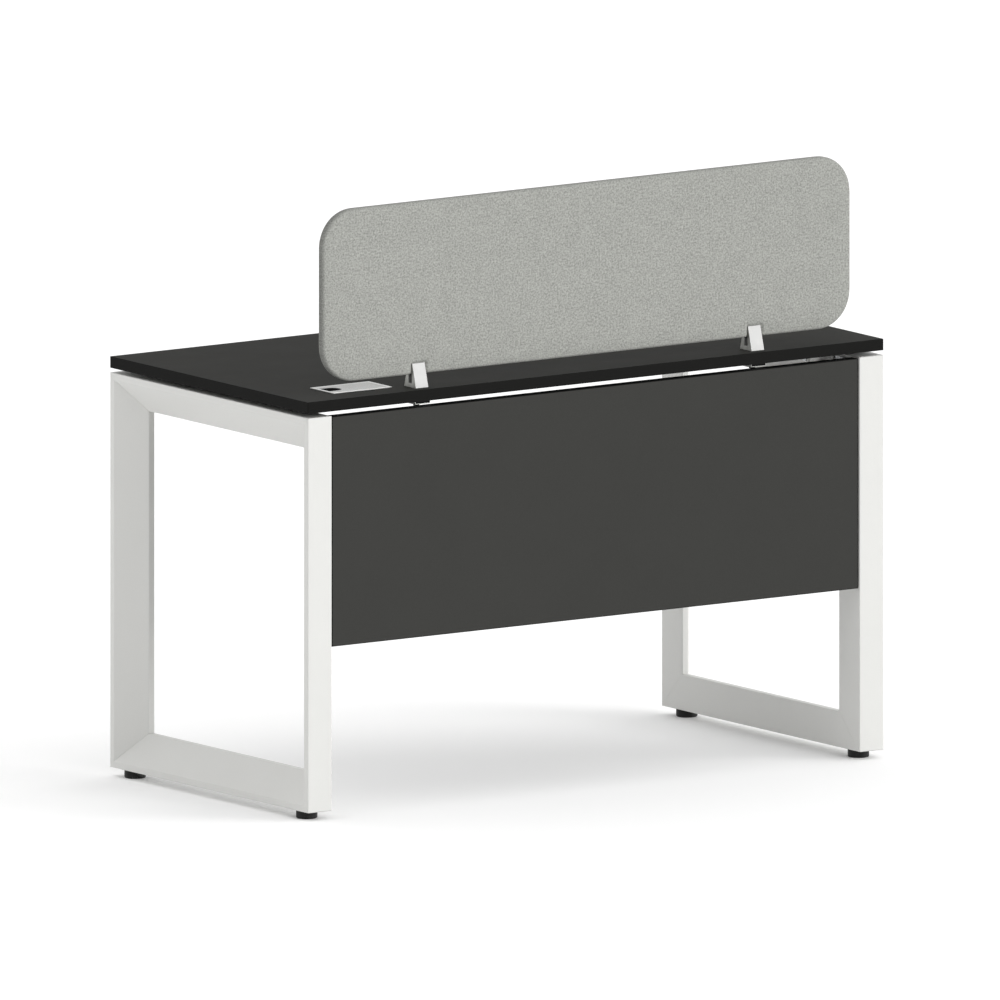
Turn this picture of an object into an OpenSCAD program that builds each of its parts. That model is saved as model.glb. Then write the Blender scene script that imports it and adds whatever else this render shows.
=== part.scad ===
// Office workstation for one person: a worktop on two closed leg frames, with a modesty
// panel below, an upholstered screen clamped above and a flap for cables in the worktop.
// The origin is on the floor under the middle of the desk. +X runs along the desk and +Y
// points from the user to the back, where the screen and the panel are.

/* [Desk] */
// Length of the worktop along the back edge
desk_length = 1200; // [1000:10:1800]
// Depth of the worktop from the front edge to the back edge
desk_depth = 600; // [540:10:800]
// Height of the worktop's upper face above the floor
desk_height = 730; // [700:5:800]

/* [Worktop] */
// Thickness of the worktop board
top_thickness = 20; // [16:1:25]
// Thickness of the strip glued round the worktop's edges
top_edging = 2; // [1:0.5:3]
// Open gap between the leg frames and the worktop
top_gap = 8; // [7:1:16]

/* [Leg frames] */
// Width of the leg tube along the desk
tube_width = 50; // [44:1:60]
// Width of the leg tube across the plane of the frame
tube_depth = 63; // [58:1:80]
// Width of the flat rim on the tube's outer side
tube_rim = 12; // [8:1:16]
// Width of the flat lip that faces the opening of the frame
tube_lip = 12; // [9:1:14]
// Wall of the leg tube
tube_wall = 1.5; // [1.2:0.1:2.5]
// Radius of the leg tube's corners
tube_corner = 1.5; // [1:0.5:3]

/* [Beams] */
// Height of the beams between the leg frames
beam_height = 40; // [30:1:45]
// Width of the beams
beam_width = 25; // [20:1:35]
// Wall of the beams
beam_wall = 1.5; // [1.2:0.1:2.5]
// Drop of the beams' upper face below the top of the leg frames
beam_drop = 22; // [14:1:26]
// Distance of the back beam's middle from the back edge
rear_beam_inset = 110; // [108:1:120]
// Distance of the front beam's middle from the front edge
front_beam_inset = 95; // [90:1:120]
// Width of the plates on the ends of the beams
end_plate_width = 70; // [66:1:70]
// Height of the plates on the ends of the beams
end_plate_height = 58; // [50:1:60]
// Thickness of the plates on the ends of the beams
end_plate_thickness = 4; // [3:0.5:6]
// Distance between the two bolts of an end plate
end_plate_bolt_spacing = 50; // [48:1:54]

/* [Worktop brackets] */
// Gap between a worktop bracket and the end plate beside it
top_bracket_gap = 5; // [3:1:15]
// Width of a worktop bracket
top_bracket_width = 40; // [36:1:44]
// Reach of a worktop bracket under the worktop
top_bracket_reach = 40; // [36:1:60]
// Height of a worktop bracket
top_bracket_height = 54; // [46:1:60]
// Thickness of a worktop bracket
top_bracket_thickness = 3; // [2:0.5:4]
// Distance between the two bolts of a worktop bracket
top_bracket_bolt_spacing = 22; // [20:1:24]
// Distance between the two screws of a worktop bracket
top_bracket_screw_spacing = 16; // [14:1:18]

/* [Modesty panel] */
// Thickness of the modesty panel
panel_thickness = 18; // [15:1:18]
// Height of the modesty panel
panel_height = 400; // [300:5:450]
// Distance of the panel's outer face from the back of the leg frames
panel_setback = 2; // [1:0.5:3]
// Gap between each end of the panel and its leg frame
panel_end_gap = 2; // [1:0.5:4]
// Drop of the panel's top below the top of the leg frames
panel_drop = 2; // [1:0.5:6]
// Thickness of the strip glued round the panel's edges
panel_edging = 1; // [0.5:0.5:2]

/* [Panel brackets] */
// Reach of the upper bracket along the leg frame
upper_bracket_reach = 50; // [44:1:52]
// Reach of the lower bracket along the leg frame
lower_bracket_reach = 38; // [34:1:40]
// Reach of the brackets along the panel
panel_bracket_reach = 40; // [36:1:60]
// Height of a panel bracket
panel_bracket_height = 40; // [34:1:44]
// Thickness of a panel bracket
panel_bracket_thickness = 2; // [1.5:0.5:3]
// Drop of the upper brackets below the panel's top
upper_bracket_drop = 4; // [2:1:8]
// Rise of the lower brackets above the panel's lower edge
lower_bracket_rise = 20; // [10:1:60]
// Distance of the upper bracket's bolt from the panel
upper_bolt_inset = 30; // [28:1:34]
// Distance of the lower bracket's bolt from the panel
lower_bolt_inset = 22; // [18:1:24]
// Distance between the two screws of a panel bracket
panel_screw_spacing = 22; // [18:1:24]

/* [Screen] */
// Distance of each end of the screen from the end of the worktop
screen_end_inset = 50; // [30:5:120]
// Height of the screen
screen_height = 300; // [240:10:450]
// Thickness of the screen over its cover
screen_thickness = 18; // [16:1:24]
// Radius of the screen's corners
screen_corner = 65; // [30:1:100]
// Radius of the rounded rim of the cover
screen_rim = 5; // [3:0.5:7]
// Thickness of the padded cover
screen_cover = 5.2; // [4.8:0.1:5.5]
// Distance of the screen's lower edge above the worktop
screen_lift = 23; // [18:1:32]
// Distance of the screen's middle from the back edge of the worktop
screen_inset = 35; // [35:1:38]

/* [Screen clamps] */
// Distance of each clamp from the end of the worktop
clamp_end_inset = 250; // [230:5:350]
// Width of a clamp along the desk
clamp_width = 26; // [22:1:34]
// Height of a clamp above the worktop
clamp_height = 42; // [38:1:60]
// Thickness of a jaw at its foot
clamp_foot_jaw = 12.7; // [11:0.1:14]
// Thickness of a jaw at its tip
clamp_tip_jaw = 1.2; // [1:0.1:2]
// Height of a clamp's base below the slot between its jaws
clamp_base = 7; // [7:0.5:14]
// Thickness of the rubber strip on the inside of each jaw
clamp_liner = 0.5; // [0.4:0.1:1]
// Length by which the rubber strips reach below the screen
clamp_liner_drop = 2; // [1:0.5:5]
// Thickness of the padded cover where a clamp squeezes it
clamp_squeeze = 0.4; // [0.3:0.1:1]
// Clear space round a clamp in the hollow that it presses into the cover
clamp_hollow_gap = 0.5; // [0.3:0.1:1.5]
// Length of the plate under the worktop along the desk
clamp_plate_length = 31.5; // [28:0.5:40]
// Depth of the plate under the worktop
clamp_plate_depth = 39; // [34:1:42]
// Thickness of the plate and its pad under the worktop
clamp_plate_thickness = 7.5; // [5:0.5:10]
// Wall of the plate under the worktop
clamp_plate_wall = 1.2; // [1:0.1:2]
// Height by which the rubber pad stands above the plate's sides
clamp_pad_proud = 0.8; // [0.5:0.1:1.5]
// Diameter of the bolt through the worktop
clamp_bolt = 5; // [4:1:6]
// Length of the bolt's thread inside the clamp
clamp_bolt_grip = 6; // [4:0.5:6]
// Diameter of the set screw in the front jaw
set_screw = 5; // [4:1:6]
// Height of the set screw above the screen's lower edge
set_screw_rise = 9; // [7:1:11]

/* [Cable box] */
// Distance of the cable box's middle from the end of the worktop
box_end_inset = 150; // [125:1:170]
// Distance of the cable box's middle from the back edge
box_back_inset = 87; // [86:1:110]
// Length of the cable box's frame
box_length = 122; // [116:1:135]
// Width of the cable box's frame
box_width = 71; // [70:1:76]
// Width of the visible rim of the frame
box_rim = 5; // [4:0.5:6]
// Rise of the frame above the worktop
box_rise = 1.2; // [0.8:0.1:2]
// Wall of the frame inside the worktop
box_wall = 1.5; // [1:0.1:2]
// Depth of the frame below the worktop's upper face
box_depth = 24; // [20:1:26]
// Thickness of the lid
lid_thickness = 2; // [1.6:0.1:2.2]
// Gap round the lid
lid_gap = 1.1; // [0.8:0.1:1.6]
// Gap between the lid and the frame at the hinge
lid_hinge_gap = 1.7; // [1.7:0.1:2]
// Distance of the hinge pin from the frame at the hinge
hinge_inset = 4.1; // [4:0.1:4.4]
// Drop of the hinge pin below the lid's underside
hinge_drop = 1; // [0.8:0.1:1.2]
// Diameter of the hinge pin
hinge_pin_diameter = 2; // [1.6:0.1:2.4]
// Diameter of the lid's hinge knuckles
knuckle_diameter = 4.4; // [4:0.1:5]
// Length of a hinge knuckle
knuckle_length = 24; // [16:1:30]
// Distance between the two hinge knuckles
knuckle_spacing = 70; // [50:1:72]
// Width of the cable notch in the end of the lid
cable_notch = 32; // [26:1:36]
// Distance of the notch's round end's middle from the end of the lid
cable_notch_inset = 15.5; // [13:0.5:24]
// Wall of the lining in the cable notch
notch_lining_wall = 2; // [1.5:0.5:3]
// Depth of the lining below the lid
notch_lining_depth = 5; // [3:1:7]
// Width of the lining's flange under the lid
notch_lining_flange = 2; // [1:0.5:2]
// Thickness of the lining's flange
notch_lining_flange_thickness = 1.2; // [0.8:0.1:2]
// Width of the ledge that the lid rests on
lid_ledge = 3; // [2:0.5:4]
// Number of grooves along the lid
lid_grooves = 5; // [3:1:7]
// Width of a groove in the lid
groove_width = 1.2; // [0.8:0.1:2]
// Depth of a groove in the lid
groove_depth = 0.4; // [0.2:0.1:0.6]

/* [Levelling feet] */
// Diameter of a foot
foot_diameter = 37; // [30:1:42]
// Height of the leg frames above the floor
foot_height = 15; // [12:1:20]
// Radius of the chamfer round a foot's base
foot_chamfer = 1.5; // [1:0.5:3]
// Diameter of a foot's threaded stem
stem_diameter = 8; // [6:1:10]
// Travel of a foot when it is screwed out
foot_travel = 20; // [10:1:20]
// Length of the stem inside the foot
stem_seat = 9; // [6:1:10]
// Distance of a foot's middle from the outer side of the leg frame
foot_side_inset = 25; // [24:1:26]
// Distance of a foot's middle from the end of the leg frame
foot_end_inset = 40; // [38:1:60]
// Diameter of the threaded insert above a foot
insert_diameter = 14; // [13:1:16]
// Height of the threaded insert above a foot
insert_height = 10; // [8:1:12]

/* [Fasteners] */
// Diameter of the bolts into the leg frames
bolt_diameter = 6; // [5:1:6]
// Diameter of a bolt's head
bolt_head = 10.5; // [9.5:0.5:12]
// Height of a bolt's head
bolt_head_height = 3.3; // [2.5:0.1:4]
// Width across flats of a bolt's socket
bolt_socket = 4; // [3:1:4]
// Depth of a bolt's socket
bolt_socket_depth = 2; // [1:0.5:2]
// Width across flats of the nuts in the leg frames
nut_flats = 10; // [9:0.5:11]
// Height of the nuts in the leg frames
nut_height = 5; // [4:0.5:6]
// Length of a bolt's tip beyond its nut
bolt_tip = 2; // [1:0.5:3]
// Diameter of the wood screws
screw_diameter = 4; // [3.5:0.5:4.5]
// Length of a wood screw inside the board
screw_bite = 11; // [8:1:12]
// Diameter of a wood screw's head
screw_head = 8; // [7:0.5:9]
// Height of a wood screw's head
screw_head_height = 2.5; // [2:0.1:3]

/* [Clearances] */
// Gap between pieces that are seated with room to spare
seat_gap = 0.3; // [0.2:0.05:0.5]
// Radial gap of pins and stems in their bores
running_gap = 0.05; // [0.03:0.01:0.08]

/* [Hidden] */

// Sides of the desk as the user sees them: left is at -X and right is at +X
left = 0;
right = 1;

// Extra length of every cut beyond what it cuts
overrun = 2;
// Number of sides of round pieces and of the steps in a rounded corner
round_sides = 48;
corner_steps = 4;
// Number of sides of the screen's faceted outline
screen_sides = 48;

half_length = desk_length / 2;
half_depth = desk_depth / 2;
top_bottom_z = desk_height - top_thickness;

// Leg frames
frame_top_z = top_bottom_z - top_gap;
frame_bottom_z = foot_height;
frame_height = frame_top_z - frame_bottom_z;
frame_middle_z = (frame_top_z + frame_bottom_z) / 2;
inner_face_x = -half_length + tube_width;
slope_depth = tube_width - tube_lip;

// Beams
beam_top_z = frame_top_z - beam_drop;
beam_bottom_z = beam_top_z - beam_height;
beam_span = desk_length - 2 * tube_width - 2 * end_plate_thickness;
rear_beam_y = half_depth - rear_beam_inset;
front_beam_y = front_beam_inset - half_depth;
end_plate_middle_z = beam_bottom_z + end_plate_height / 2;

// Brackets under the worktop, one beside each beam
bracket_to_beam = (end_plate_width + top_bracket_width) / 2 + top_bracket_gap;
top_bracket_places = [rear_beam_y - bracket_to_beam, front_beam_y + bracket_to_beam];
top_bracket_middle_z = top_bottom_z - top_bracket_height / 2 - top_bracket_thickness;

// Modesty panel
panel_length = desk_length - 2 * tube_width - 2 * panel_end_gap;
panel_top_z = frame_top_z - panel_drop;
panel_bottom_z = panel_top_z - panel_height;
panel_back_y = half_depth - panel_setback;
panel_inner_y = panel_back_y - panel_thickness;
upper_bracket_z = panel_top_z - upper_bracket_drop - panel_bracket_height / 2;
lower_bracket_z = panel_bottom_z + lower_bracket_rise + panel_bracket_height / 2;
panel_screw_x = inner_face_x + panel_bracket_reach / 2 + panel_bracket_thickness;

// Screen and its clamps
screen_length = desk_length - 2 * screen_end_inset;
screen_y = half_depth - screen_inset;
screen_bottom_z = desk_height + screen_lift;
screen_middle_z = screen_bottom_z + screen_height / 2;
clamp_x = half_length - clamp_end_inset;
squeezed_half = screen_thickness / 2 - screen_cover + clamp_squeeze;
slot_half = squeezed_half + seat_gap + clamp_liner;
slot_floor_z = desk_height + clamp_base;
clamp_top_z = desk_height + clamp_height;
clamp_bolt_hole = clamp_bolt + 2 * seat_gap;
clamp_bolt_head = clamp_bolt * 2.2;
set_screw_z = screen_bottom_z + set_screw_rise;
jaw_lean_share = (set_screw_z - desk_height) / clamp_height;
jaw_at_set_screw = clamp_foot_jaw - (clamp_foot_jaw - clamp_tip_jaw) * jaw_lean_share;

// Cable box
box_x = half_length - box_end_inset;
box_y = half_depth - box_back_inset;
box_top_z = desk_height + box_rise;
box_bottom_z = desk_height - box_depth;
opening_length = box_length - 2 * box_rim;
opening_width = box_width - 2 * box_rim;
skirt_length = opening_length + 2 * box_wall;
skirt_width = opening_width + 2 * box_wall;
lid_length = opening_length - 2 * lid_gap;
lid_back_y = box_y + opening_width / 2 - lid_hinge_gap;
lid_front_y = box_y - opening_width / 2 + lid_gap;
lid_bottom_z = box_top_z - lid_thickness;
hinge_y = box_y + opening_width / 2 - hinge_inset;
hinge_z = lid_bottom_z - hinge_drop;
lid_end_x = box_x + lid_length / 2;
cable_notch_x = lid_end_x - cable_notch_inset;

// Levelling feet
foot_x = half_length - foot_side_inset;
foot_y = half_depth - foot_end_inset;
stem_top_z = foot_height + tube_wall + insert_height + foot_travel;
stem_bottom_z = foot_height - stem_seat;

// Colours
white_paint = "#ecebe8";
laminate = "#3c3c3a";
laminate_edge = "#2b2b29";
panel_grey = "#464644";
fabric_grey = "#a9aaa5";
aluminium = "#dcdcdb";
zinc = "#a9abac";
black_plastic = "#161616";
chipboard = "#b08c60";

// Unit vector along a step from one point of an outline to the next
function step_direction(from, to) = (to - from) / norm(to - from);

// Normal that points into an outline whose points run anticlockwise
function inward(direction) = [-direction[1], direction[0]];

// The same outline, moved inwards by a distance
function inset_outline(points, distance) =
    let (count = len(points))
    [for (i = [0 : count - 1])
        let (
            before = inward(step_direction(points[(i + count - 1) % count], points[i])),
            after = inward(step_direction(points[i], points[(i + 1) % count]))
        )
        points[i] + distance * (before + after) / (1 + before * after)];

// The same outline with an arc at each corner
function rounded_outline(points, radius, steps) =
    let (count = len(points))
    [for (i = [0 : count - 1])
        let (
            before = inward(step_direction(points[(i + count - 1) % count], points[i])),
            after = inward(step_direction(points[i], points[(i + 1) % count])),
            centre = points[i] + radius * (before + after) / (1 + before * after),
            first = atan2(-before[1], -before[0]),
            turned = atan2(-after[1], -after[0]),
            last = turned < first ? turned + 360 : turned
        )
        for (s = [0 : steps])
            let (angle = first + (last - first) * s / steps)
            centre + radius * [cos(angle), sin(angle)]];

// Section of the leg tube. The first number runs from the outer side of the frame to its
// inner side, and the second from the outer edge of the frame towards its opening.
tube_section = [
    [0, 0], [tube_width, 0], [tube_width, tube_depth], [slope_depth, tube_depth], [0, tube_rim]
];

// Places on the inner face of the left leg frame, as [y, z]
end_plate_bolts = [
    for (y = [rear_beam_y, front_beam_y])
        for (s = [-1, 1]) [y + s * end_plate_bolt_spacing / 2, end_plate_middle_z]
];
top_bracket_bolts = [
    for (y = top_bracket_places)
        for (s = [-1, 1]) [y + s * top_bracket_bolt_spacing / 2, top_bracket_middle_z]
];
upper_bracket_bolt = [panel_inner_y - upper_bolt_inset, upper_bracket_z];
lower_bracket_bolt = [panel_inner_y - lower_bolt_inset, lower_bracket_z];
rail_bolts = concat(end_plate_bolts, top_bracket_bolts, [upper_bracket_bolt]);

// Draws on the left side of the desk, or mirrors to the right side
module on_side(side) {
    if (side == left) children();
    else mirror([1, 0, 0]) children();
}

// A plate or block given by its lowest and highest corners
module block(low, high) {
    translate(low) cube(high - low);
}

module tube_of_revolution(outer, inner, height) {
    difference() {
        cylinder(d = outer, h = height, $fn = round_sides);
        translate([0, 0, -overrun])
            cylinder(d = inner, h = height + 2 * overrun, $fn = round_sides);
    }
}

// A bolt whose head sits on the plane z = 0 and whose shank points down
module socket_bolt(shank, reach, head, head_height, socket, socket_depth) {
    difference() {
        union() {
            cylinder(d = head, h = head_height, $fn = round_sides);
            translate([0, 0, -reach]) cylinder(d = shank, h = reach, $fn = round_sides);
        }
        translate([0, 0, head_height - socket_depth])
            cylinder(d = socket / cos(30), h = socket_depth + overrun, $fn = 6);
    }
}

// A wood screw whose head sits on the plane z = 0 and whose shank points down
module wood_screw(plate) {
    cross_arm = screw_head / 2;
    cross_width = screw_head / 8;
    difference() {
        union() {
            cylinder(d = screw_head, h = screw_head_height, $fn = round_sides);
            translate([0, 0, -plate - screw_bite])
                cylinder(d = screw_diameter, h = plate + screw_bite, $fn = round_sides);
        }
        for (turn = [0, 90])
            rotate([0, 0, turn])
                translate([-cross_arm / 2, -cross_width / 2, screw_head_height / 2])
                    cube([cross_arm, cross_width, screw_head_height]);
    }
}

// Leg frames

// One mitred tube of the left frame. The quarter turn is 0 for the bottom rail, 1 for the
// rear post, 2 for the top rail and 3 for the front post.
module frame_tube(quarter, reach, across) {
    section = [for (p = tube_section) p + [-half_length, -across / 2]];
    mitre = [
        [-reach / 2 - overrun, -across / 2 - overrun],
        [reach / 2 + overrun, -across / 2 - overrun],
        [reach / 2 - tube_depth - overrun, -across / 2 + tube_depth + overrun],
        [-reach / 2 + tube_depth + overrun, -across / 2 + tube_depth + overrun]
    ];
    translate([0, 0, frame_middle_z])
        rotate([90 * quarter, 0, 0])
            intersection() {
                rotate([90, 0, 0])
                    linear_extrude(height = reach, center = true)
                        difference() {
                            polygon(rounded_outline(section, tube_corner, corner_steps));
                            polygon(inset_outline(section, tube_wall));
                        }
                translate([-half_length - overrun, 0, 0])
                    rotate([90, 0, 90])
                        linear_extrude(height = tube_width + 2 * overrun) polygon(mitre);
            }
}

// Round holes through the inner wall of the left frame
module inner_wall_holes(places, diameter) {
    for (p = places)
        translate([inner_face_x - tube_wall - overrun, p[0], p[1]])
            rotate([0, 90, 0])
                cylinder(d = diameter, h = tube_wall + 2 * overrun, $fn = round_sides);
}

module top_rail(side) {
    color(white_paint)
        on_side(side)
            difference() {
                frame_tube(2, desk_depth, frame_height);
                inner_wall_holes(rail_bolts, bolt_diameter + 2 * seat_gap);
            }
}

module bottom_rail(side) {
    color(white_paint)
        on_side(side)
            difference() {
                frame_tube(0, desk_depth, frame_height);
                for (y = [-foot_y, foot_y])
                    translate([-foot_x, y, frame_bottom_z - overrun])
                        cylinder(d = stem_diameter + 2 * seat_gap, h = tube_wall + 2 * overrun,
                                 $fn = round_sides);
            }
}

module rear_post(side) {
    color(white_paint)
        on_side(side)
            difference() {
                frame_tube(1, frame_height, desk_depth);
                inner_wall_holes([lower_bracket_bolt], bolt_diameter + 2 * seat_gap);
            }
}

module front_post(side) {
    color(white_paint) on_side(side) frame_tube(3, frame_height, desk_depth);
}

// Nuts welded inside the leg frames
module frame_nuts() {
    color(zinc)
        for (side = [left, right])
            on_side(side)
                for (p = concat(rail_bolts, [lower_bracket_bolt]))
                    translate([inner_face_x - tube_wall - nut_height, p[0], p[1]])
                        rotate([0, 90, 0])
                            difference() {
                                cylinder(d = nut_flats / cos(30), h = nut_height, $fn = 6);
                                translate([0, 0, -overrun])
                                    cylinder(d = bolt_diameter + 2 * running_gap,
                                             h = nut_height + 2 * overrun, $fn = round_sides);
                            }
}

// Bolts into the inner face of the left frame, through a plate
module frame_bolts(places, plate) {
    for (p = places)
        translate([inner_face_x + plate, p[0], p[1]])
            rotate([0, 90, 0])
                socket_bolt(bolt_diameter, plate + tube_wall + nut_height + bolt_tip,
                            bolt_head, bolt_head_height, bolt_socket, bolt_socket_depth);
}

// Beams

module beam(y) {
    color(white_paint)
        difference() {
            block([-beam_span / 2, y - beam_width / 2, beam_bottom_z],
                  [beam_span / 2, y + beam_width / 2, beam_top_z]);
            block([-beam_span / 2 - overrun, y - beam_width / 2 + beam_wall,
                   beam_bottom_z + beam_wall],
                  [beam_span / 2 + overrun, y + beam_width / 2 - beam_wall,
                   beam_top_z - beam_wall]);
        }
}

module beam_end_plates() {
    color(white_paint)
        for (side = [left, right])
            on_side(side)
                difference() {
                    for (y = [rear_beam_y, front_beam_y])
                        block([inner_face_x, y - end_plate_width / 2, beam_bottom_z],
                              [inner_face_x + end_plate_thickness, y + end_plate_width / 2,
                               beam_bottom_z + end_plate_height]);
                    for (p = end_plate_bolts)
                        translate([inner_face_x - overrun, p[0], p[1]])
                            rotate([0, 90, 0])
                                cylinder(d = bolt_diameter + 2 * seat_gap,
                                         h = end_plate_thickness + 2 * overrun,
                                         $fn = round_sides);
                }
}

module beam_bolts() {
    color(zinc)
        for (side = [left, right])
            on_side(side) frame_bolts(end_plate_bolts, end_plate_thickness);
}

// Brackets between the leg frames and the worktop

// Places of the screws of one worktop bracket, measured from the leg frame's inner face
top_screw_places = [
    for (s = [-1, 1])
        (top_bracket_reach + top_bracket_thickness) / 2 + s * top_bracket_screw_spacing / 2
];

module worktop_brackets(side) {
    color(white_paint)
        on_side(side)
            for (y = top_bracket_places)
                difference() {
                    union() {
                        block([inner_face_x, y - top_bracket_width / 2,
                               top_bottom_z - top_bracket_height],
                              [inner_face_x + top_bracket_thickness, y + top_bracket_width / 2,
                               top_bottom_z]);
                        block([inner_face_x, y - top_bracket_width / 2,
                               top_bottom_z - top_bracket_thickness],
                              [inner_face_x + top_bracket_reach, y + top_bracket_width / 2,
                               top_bottom_z]);
                    }
                    for (p = top_bracket_bolts)
                        translate([inner_face_x - overrun, p[0], p[1]])
                            rotate([0, 90, 0])
                                cylinder(d = bolt_diameter + 2 * seat_gap,
                                         h = top_bracket_thickness + 2 * overrun,
                                         $fn = round_sides);
                    for (x = top_screw_places)
                        translate([inner_face_x + x, y,
                                   top_bottom_z - top_bracket_thickness - overrun])
                            cylinder(d = screw_diameter + 2 * seat_gap,
                                     h = top_bracket_thickness + 2 * overrun,
                                     $fn = round_sides);
                }
}

module worktop_screws() {
    color(zinc)
        for (side = [left, right])
            on_side(side)
                for (y = top_bracket_places)
                    for (x = top_screw_places)
                        translate([inner_face_x + x, y, top_bottom_z - top_bracket_thickness])
                            mirror([0, 0, 1]) wood_screw(top_bracket_thickness);
}

module bracket_bolts() {
    color(zinc)
        for (side = [left, right])
            on_side(side) {
                frame_bolts(top_bracket_bolts, top_bracket_thickness);
                frame_bolts([upper_bracket_bolt, lower_bracket_bolt], panel_bracket_thickness);
            }
}

// Worktop

// Blind holes for the wood screws under the worktop
module worktop_pilot_holes() {
    for (side = [left, right])
        on_side(side)
            for (y = top_bracket_places)
                for (x = top_screw_places)
                    translate([inner_face_x + x, y, top_bottom_z - overrun])
                        cylinder(d = screw_diameter + 2 * running_gap,
                                 h = screw_bite + seat_gap + overrun, $fn = round_sides);
}

module worktop() {
    color(laminate)
        difference() {
            block([top_edging - half_length, top_edging - half_depth, top_bottom_z],
                  [half_length - top_edging, half_depth - top_edging, desk_height]);
            block([box_x - skirt_length / 2 - seat_gap, box_y - skirt_width / 2 - seat_gap,
                   top_bottom_z - overrun],
                  [box_x + skirt_length / 2 + seat_gap, box_y + skirt_width / 2 + seat_gap,
                   desk_height + overrun]);
            for (x = [-clamp_x, clamp_x])
                translate([x, screen_y, top_bottom_z - overrun])
                    cylinder(d = clamp_bolt_hole, h = top_thickness + 2 * overrun,
                             $fn = round_sides);
            worktop_pilot_holes();
        }
}

module worktop_edging() {
    color(laminate_edge)
        difference() {
            block([-half_length, -half_depth, top_bottom_z],
                  [half_length, half_depth, desk_height]);
            block([top_edging - half_length, top_edging - half_depth, top_bottom_z - overrun],
                  [half_length - top_edging, half_depth - top_edging, desk_height + overrun]);
        }
}

// Modesty panel

// Places of the screws of the left panel brackets, as [x, z]
panel_screw_places = [
    for (z = [upper_bracket_z, lower_bracket_z])
        for (s = [-1, 1]) [panel_screw_x, z + s * panel_screw_spacing / 2]
];

// Holes or screws of the left panel brackets, with their axis along Y from the panel's
// inner face
module at_panel_screws() {
    for (p = panel_screw_places)
        translate([p[0], panel_inner_y, p[1]]) rotate([90, 0, 0]) children();
}

module modesty_panel() {
    color(panel_grey)
        difference() {
            block([panel_edging - panel_length / 2, panel_inner_y, panel_bottom_z + panel_edging],
                  [panel_length / 2 - panel_edging, panel_back_y, panel_top_z - panel_edging]);
            for (side = [left, right])
                on_side(side)
                    at_panel_screws()
                        translate([0, 0, -screw_bite - seat_gap])
                            cylinder(d = screw_diameter + 2 * running_gap,
                                     h = screw_bite + seat_gap + overrun, $fn = round_sides);
        }
}

module modesty_panel_edging() {
    color(laminate_edge)
        difference() {
            block([-panel_length / 2, panel_inner_y, panel_bottom_z],
                  [panel_length / 2, panel_back_y, panel_top_z]);
            block([panel_edging - panel_length / 2, panel_inner_y - overrun,
                   panel_bottom_z + panel_edging],
                  [panel_length / 2 - panel_edging, panel_back_y + overrun,
                   panel_top_z - panel_edging]);
        }
}

module panel_bracket(z, reach, bolt) {
    difference() {
        union() {
            block([inner_face_x, panel_inner_y - reach, z - panel_bracket_height / 2],
                  [inner_face_x + panel_bracket_thickness, panel_inner_y,
                   z + panel_bracket_height / 2]);
            block([inner_face_x, panel_inner_y - panel_bracket_thickness,
                   z - panel_bracket_height / 2],
                  [inner_face_x + panel_bracket_reach, panel_inner_y,
                   z + panel_bracket_height / 2]);
        }
        translate([inner_face_x - overrun, bolt[0], bolt[1]])
            rotate([0, 90, 0])
                cylinder(d = bolt_diameter + 2 * seat_gap,
                         h = panel_bracket_thickness + 2 * overrun, $fn = round_sides);
        at_panel_screws()
            translate([0, 0, -overrun])
                cylinder(d = screw_diameter + 2 * seat_gap,
                         h = panel_bracket_thickness + 2 * overrun, $fn = round_sides);
    }
}

module panel_brackets(side) {
    color(zinc)
        on_side(side) {
            panel_bracket(upper_bracket_z, upper_bracket_reach, upper_bracket_bolt);
            panel_bracket(lower_bracket_z, lower_bracket_reach, lower_bracket_bolt);
        }
}

module panel_screws() {
    color(zinc)
        for (side = [left, right])
            on_side(side)
                at_panel_screws()
                    translate([0, 0, panel_bracket_thickness])
                        wood_screw(panel_bracket_thickness);
}

// Screen

// An upright board with round corners, centred on the screen
module rounded_board(extra, thickness) {
    width = screen_length + 2 * extra;
    height = screen_height + 2 * extra;
    radius = screen_corner + extra;
    translate([0, screen_y + thickness / 2, screen_middle_z])
        rotate([90, 0, 0])
            linear_extrude(height = thickness) {
                square([width - 2 * radius, height], center = true);
                square([width, height - 2 * radius], center = true);
                for (x = [-1, 1])
                    for (z = [-1, 1])
                        translate([x * (width / 2 - radius), z * (height / 2 - radius)])
                            circle(r = radius, $fn = 2 * screen_sides);
            }
}

module screen_board() {
    color(chipboard)
        rounded_board(-screen_cover - seat_gap, screen_thickness - 2 * (screen_cover + seat_gap));
}

// One corner of the padded cover: a disc whose rim is a quarter circle on both faces
module cover_corner() {
    rim_steps = 6;
    flat = screen_thickness / 2 - screen_rim;
    edge = [
        for (s = [0 : rim_steps])
            let (angle = 90 * s / rim_steps)
            [screen_corner - screen_rim + screen_rim * cos(angle),
             flat + screen_rim * sin(angle)]
    ];
    far_edge = [for (i = [0 : rim_steps]) [edge[rim_steps - i][0], -edge[rim_steps - i][1]]];
    rotate([90, 0, 0])
        rotate_extrude($fn = screen_sides)
            polygon(concat(edge, [[0, screen_thickness / 2], [0, -screen_thickness / 2]], far_edge));
}

module screen_cover_fabric() {
    corner_x = screen_length / 2 - screen_corner;
    corner_z = screen_height / 2 - screen_corner;
    color(fabric_grey)
        difference() {
            translate([0, screen_y, screen_middle_z])
                hull()
                    for (x = [-corner_x, corner_x])
                        for (z = [-corner_z, corner_z]) translate([x, 0, z]) cover_corner();
            rounded_board(-screen_cover, screen_thickness - 2 * screen_cover);
            for (x = [-clamp_x, clamp_x])
                for (s = [-1, 1])
                    clamp_hollow(x, s);
        }
}

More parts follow.
